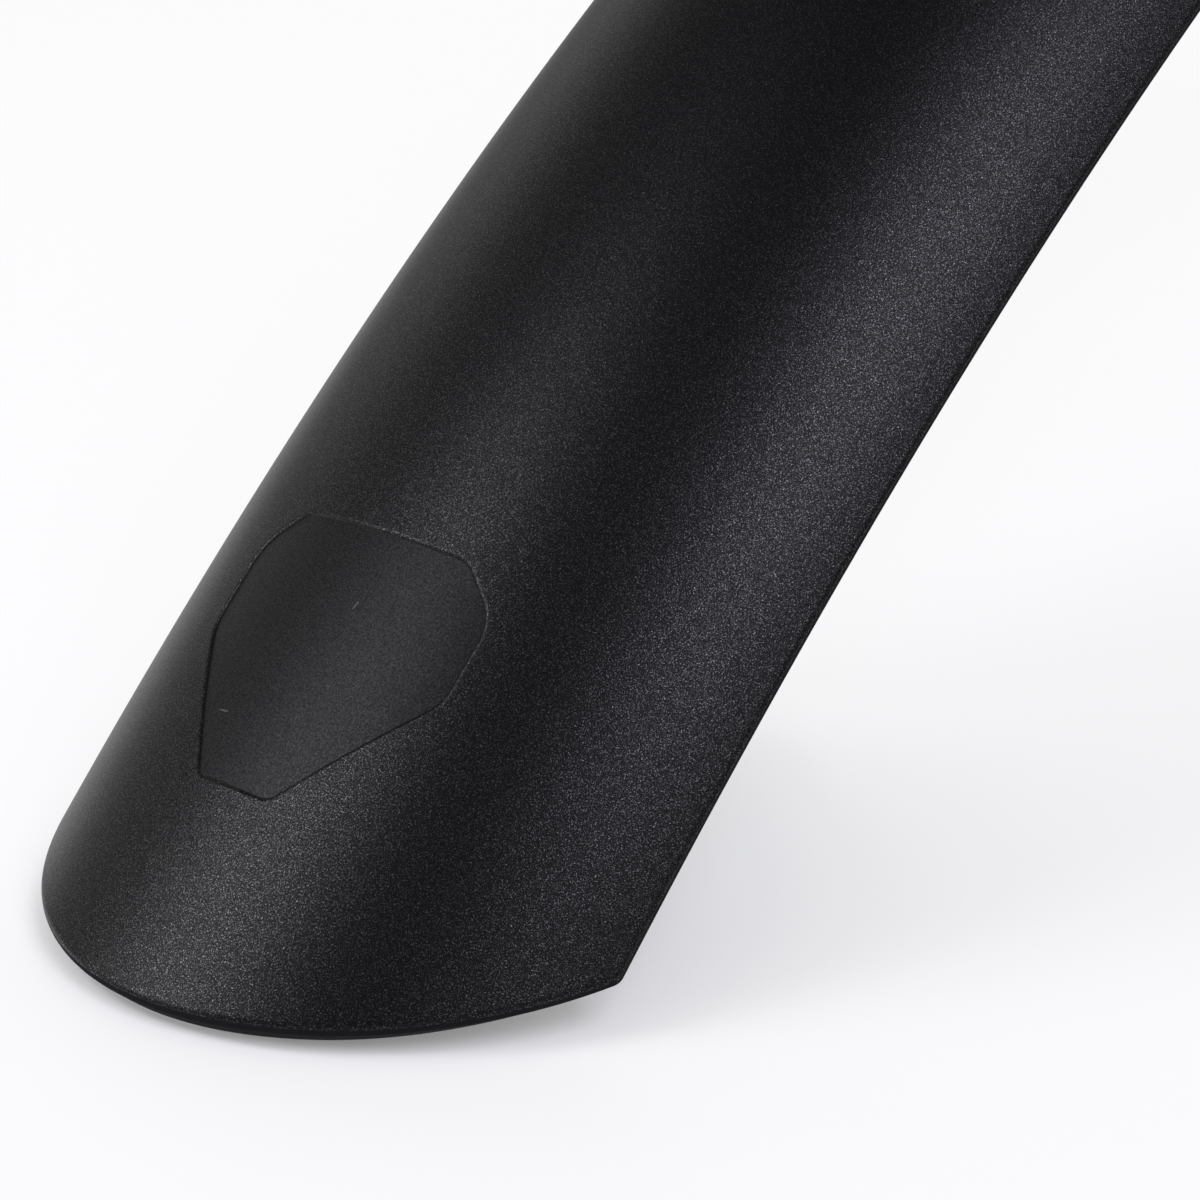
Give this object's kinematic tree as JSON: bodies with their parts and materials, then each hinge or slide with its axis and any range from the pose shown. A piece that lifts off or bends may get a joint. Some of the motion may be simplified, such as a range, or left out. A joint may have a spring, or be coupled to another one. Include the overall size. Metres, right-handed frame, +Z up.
{
  "type": "bicycle mudguard",
  "caption": "Arched blade that keeps a bicycle tyre's spray off: a shallow round moulded shell with a tongue-shaped tail, a shield-shaped recess and a flat bolt land on its crown.",
  "frame": {"origin": "on the floor below the middle of the blade, which stands on its two ends with the arch upwards", "axes": "+X along the blade towards its front end, -X towards the tail, +Y across the blade along the wheel's axle line, +Z up, out of the crown"},
  "size_m": [0.562, 0.0446, 0.1321],
  "materials": {
    "black_plastic": "fine spark-eroded grain, smoother in the recess"
  },
  "bodies": {
    "root": {"mudguard_blade": "black_plastic"}
  },
  "joints": []
}
